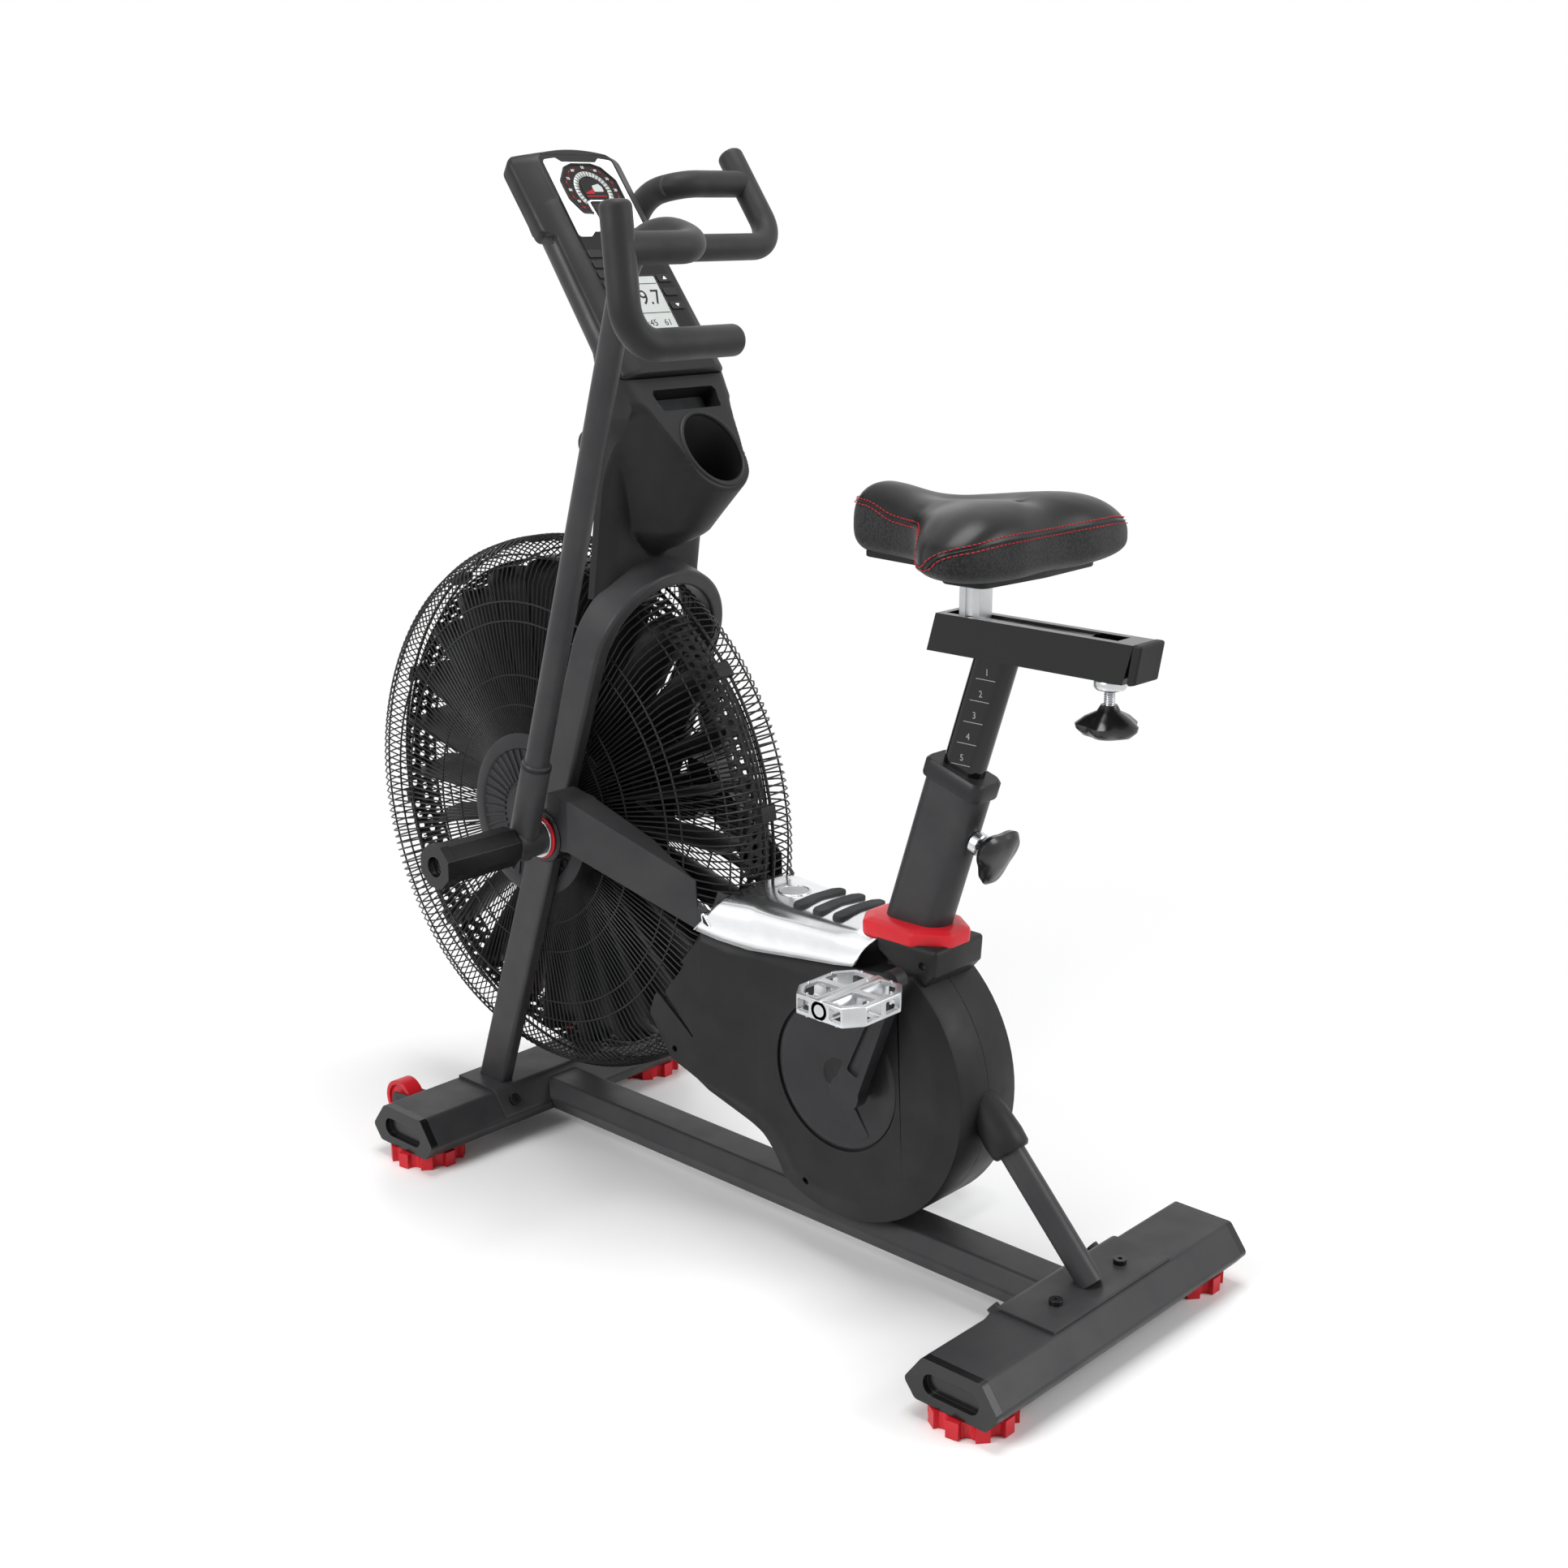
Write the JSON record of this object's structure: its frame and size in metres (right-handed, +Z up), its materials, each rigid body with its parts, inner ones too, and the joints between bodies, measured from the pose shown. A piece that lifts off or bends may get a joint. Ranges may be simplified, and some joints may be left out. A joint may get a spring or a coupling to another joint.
{
  "type": "air bike",
  "caption": "Upright fan-resistance exercise bike with swinging arms, wire fan guard, cup holder, tilted console, pedals, sliding saddle and levelling feet.",
  "frame": {"origin": "on the floor, at the middle of the bike's length and width", "axes": "+X to the rear (the rider faces -X), +Y to the rider's right, +Z up"},
  "size_m": [1.2945, 0.6492, 1.3399],
  "materials": {
    "paint": "satin charcoal powder coat",
    "gloss_paint": "gloss black",
    "plastic": "fine grain",
    "wire": "black coated wire",
    "fan": "matte black sheet",
    "silver": "satin silver",
    "steel": "brushed",
    "red": "semi gloss",
    "foam": "closed-cell foam",
    "leather": "soft grain over foam",
    "rubber": "ribbed belt"
  },
  "bodies": {
    "frame": {"front_stabiliser": "paint", "rear_stabiliser": "paint", "stabiliser_end_caps": "plastic", "base_rail": "paint", "frame_bolts": "plastic", "left_upright": "paint", "right_upright": "paint", "frame_arch": "paint", "left_link_housing": "paint", "right_link_housing": "paint", "axles": "steel", "foot_pegs": "plastic", "seat_tube": "paint", "seat_tube_collar": "red", "left_shroud": "plastic", "right_shroud": "plastic", "top_cover": "silver", "inner_frame": "paint", "rear_stay": "paint", "mast": "paint", "mast_shroud": "plastic", "console_housing": "plastic", "console_face": "silver", "left_guard": "wire", "right_guard": "wire", "hub_caps": "plastic", "drive_belt": "rubber"},
    "fan_wheel": {"fan": "fan"},
    "crank_set": {"crank": "plastic"},
    "left_pedal_body": {"left_pedal": "silver"},
    "right_pedal_body": {"right_pedal": "silver"},
    "left_arm_body": {"left_arm": "paint", "left_grip": "foam"},
    "right_arm_body": {"right_arm": "paint", "right_grip": "foam"},
    "left_link_rod": {"left_link": "steel"},
    "right_link_rod": {"right_link": "steel"},
    "seat_height": {"seat_post": "gloss_paint"},
    "seat_carriage": {"saddle_clamp": "plastic", "saddle": "leather"},
    "height_pin": {"seat_pin": "plastic"},
    "carriage_knob": {"clamp_knob": "plastic"},
    "left_wheel_body": {"left_wheel": "red"},
    "right_wheel_body": {"right_wheel": "red"},
    "front_left_levelling_foot": {"front_left_foot": "red"},
    "front_right_levelling_foot": {"front_right_foot": "red"},
    "rear_left_levelling_foot": {"rear_left_foot": "red"},
    "rear_right_levelling_foot": {"rear_right_foot": "red"},
    "button_1": {"key_1": "plastic"},
    "button_2": {"key_2": "plastic"},
    "button_3": {"key_3": "plastic"},
    "button_4": {"key_4": "plastic"},
    "button_5": {"key_5": "plastic"},
    "button_6": {"key_6": "plastic"},
    "button_7": {"key_7": "plastic"},
    "button_8": {"key_8": "plastic"},
    "button_9": {"key_9": "red"},
    "button_10": {"key_10": "red"}
  },
  "joints": [
    {"name": "crank_spin", "type": "hinge", "parent": "frame", "child": "crank_set", "pos_m": [0.293, 0, 0.258], "axis": [0, 1, 0], "continuous": true},
    {"name": "fan_spin", "type": "hinge", "parent": "frame", "child": "fan_wheel", "pos_m": [-0.281, 0, 0.483], "axis": [0, 1, 0], "continuous": true},
    {"name": "left_pedal_spin", "type": "hinge", "parent": "crank_set", "child": "left_pedal_body", "pos_m": [0.35993, -0.16, 0.41644], "axis": [0, 1, 0], "continuous": true},
    {"name": "right_pedal_spin", "type": "hinge", "parent": "crank_set", "child": "right_pedal_body", "pos_m": [0.22607, 0.16, 0.09956], "axis": [0, 1, 0], "continuous": true},
    {"name": "left_arm_swing", "type": "hinge", "parent": "frame", "child": "left_arm_body", "pos_m": [-0.177, -0.183, 0.49], "axis": [0, 1, 0], "range_deg": [-29.7, 0]},
    {"name": "right_arm_swing", "type": "hinge", "parent": "frame", "child": "right_arm_body", "pos_m": [-0.177, 0.183, 0.49], "axis": [0, 1, 0], "range_deg": [0, 29.7]},
    {"name": "left_link_pivot", "type": "hinge", "parent": "left_arm_body", "child": "left_link_rod", "pos_m": [-0.17107, -0.13, 0.51015], "axis": [0, 1, 0], "range_deg": [0, 29.7]},
    {"name": "right_link_pivot", "type": "hinge", "parent": "right_arm_body", "child": "right_link_rod", "pos_m": [-0.18183, 0.13, 0.51044], "axis": [0, 1, 0], "range_deg": [-29.7, 0]},
    {"name": "seat_height_slide", "type": "slide", "parent": "frame", "child": "seat_height", "axis": [0.2974, 0, 0.9548], "range_m": [-0.108, 0.027]},
    {"name": "seat_fore_aft", "type": "slide", "parent": "seat_height", "child": "seat_carriage", "axis": [1, 0, 0], "range_m": [-0.015, 0.05]},
    {"name": "pin_pull", "type": "slide", "parent": "frame", "child": "height_pin", "axis": [0.9548, 0, -0.2974], "range_m": [0, 0.012], "stiffness_N_per_m": 600, "springref_m": -0.004},
    {"name": "carriage_knob_turn", "type": "hinge", "parent": "seat_height", "child": "carriage_knob", "pos_m": [0.57876, 0, 0.74176], "axis": [0, 0, 1], "continuous": true},
    {"name": "left_wheel_spin", "type": "hinge", "parent": "frame", "child": "left_wheel_body", "pos_m": [-0.47, -0.17, 0.044], "axis": [0, 1, 0], "continuous": true},
    {"name": "right_wheel_spin", "type": "hinge", "parent": "frame", "child": "right_wheel_body", "pos_m": [-0.47, 0.17, 0.044], "axis": [0, 1, 0], "continuous": true},
    {"name": "front_left_foot_turn", "type": "hinge", "parent": "frame", "child": "front_left_levelling_foot", "pos_m": [-0.372, -0.208, 0.02], "axis": [0, 0, 1], "continuous": true},
    {"name": "front_right_foot_turn", "type": "hinge", "parent": "frame", "child": "front_right_levelling_foot", "pos_m": [-0.372, 0.208, 0.02], "axis": [0, 0, 1], "continuous": true},
    {"name": "rear_left_foot_turn", "type": "hinge", "parent": "frame", "child": "rear_left_levelling_foot", "pos_m": [0.583, -0.208, 0.02], "axis": [0, 0, 1], "continuous": true},
    {"name": "rear_right_foot_turn", "type": "hinge", "parent": "frame", "child": "rear_right_levelling_foot", "pos_m": [0.583, 0.208, 0.02], "axis": [0, 0, 1], "continuous": true},
    {"name": "button_1_press", "type": "slide", "parent": "frame", "child": "button_1", "axis": [-0.8049, 0, -0.5934], "range_m": [0, 0.001], "stiffness_N_per_m": 400, "springref_m": -0.001},
    {"name": "button_2_press", "type": "slide", "parent": "frame", "child": "button_2", "axis": [-0.8049, 0, -0.5934], "range_m": [0, 0.001], "stiffness_N_per_m": 400, "springref_m": -0.001},
    {"name": "button_3_press", "type": "slide", "parent": "frame", "child": "button_3", "axis": [-0.8049, 0, -0.5934], "range_m": [0, 0.001], "stiffness_N_per_m": 400, "springref_m": -0.001},
    {"name": "button_4_press", "type": "slide", "parent": "frame", "child": "button_4", "axis": [-0.8049, 0, -0.5934], "range_m": [0, 0.001], "stiffness_N_per_m": 400, "springref_m": -0.001},
    {"name": "button_5_press", "type": "slide", "parent": "frame", "child": "button_5", "axis": [-0.8049, 0, -0.5934], "range_m": [0, 0.001], "stiffness_N_per_m": 400, "springref_m": -0.001},
    {"name": "button_6_press", "type": "slide", "parent": "frame", "child": "button_6", "axis": [-0.8049, 0, -0.5934], "range_m": [0, 0.001], "stiffness_N_per_m": 400, "springref_m": -0.001},
    {"name": "button_7_press", "type": "slide", "parent": "frame", "child": "button_7", "axis": [-0.8049, 0, -0.5934], "range_m": [0, 0.001], "stiffness_N_per_m": 400, "springref_m": -0.001},
    {"name": "button_8_press", "type": "slide", "parent": "frame", "child": "button_8", "axis": [-0.8049, 0, -0.5934], "range_m": [0, 0.001], "stiffness_N_per_m": 400, "springref_m": -0.001},
    {"name": "button_9_press", "type": "slide", "parent": "frame", "child": "button_9", "axis": [-0.8049, 0, -0.5934], "range_m": [0, 0.001], "stiffness_N_per_m": 400, "springref_m": -0.001},
    {"name": "button_10_press", "type": "slide", "parent": "frame", "child": "button_10", "axis": [-0.8049, 0, -0.5934], "range_m": [0, 0.001], "stiffness_N_per_m": 400, "springref_m": -0.001}
  ],
  "couplings": [
    {"joint": "fan_spin", "follows": "crank_spin", "ratio": 5.6},
    {"joint": "right_arm_swing", "follows": "left_arm_swing", "ratio": -1},
    {"joint": "left_link_pivot", "follows": "left_arm_swing", "ratio": -1},
    {"joint": "right_link_pivot", "follows": "left_arm_swing", "ratio": 1}
  ]
}
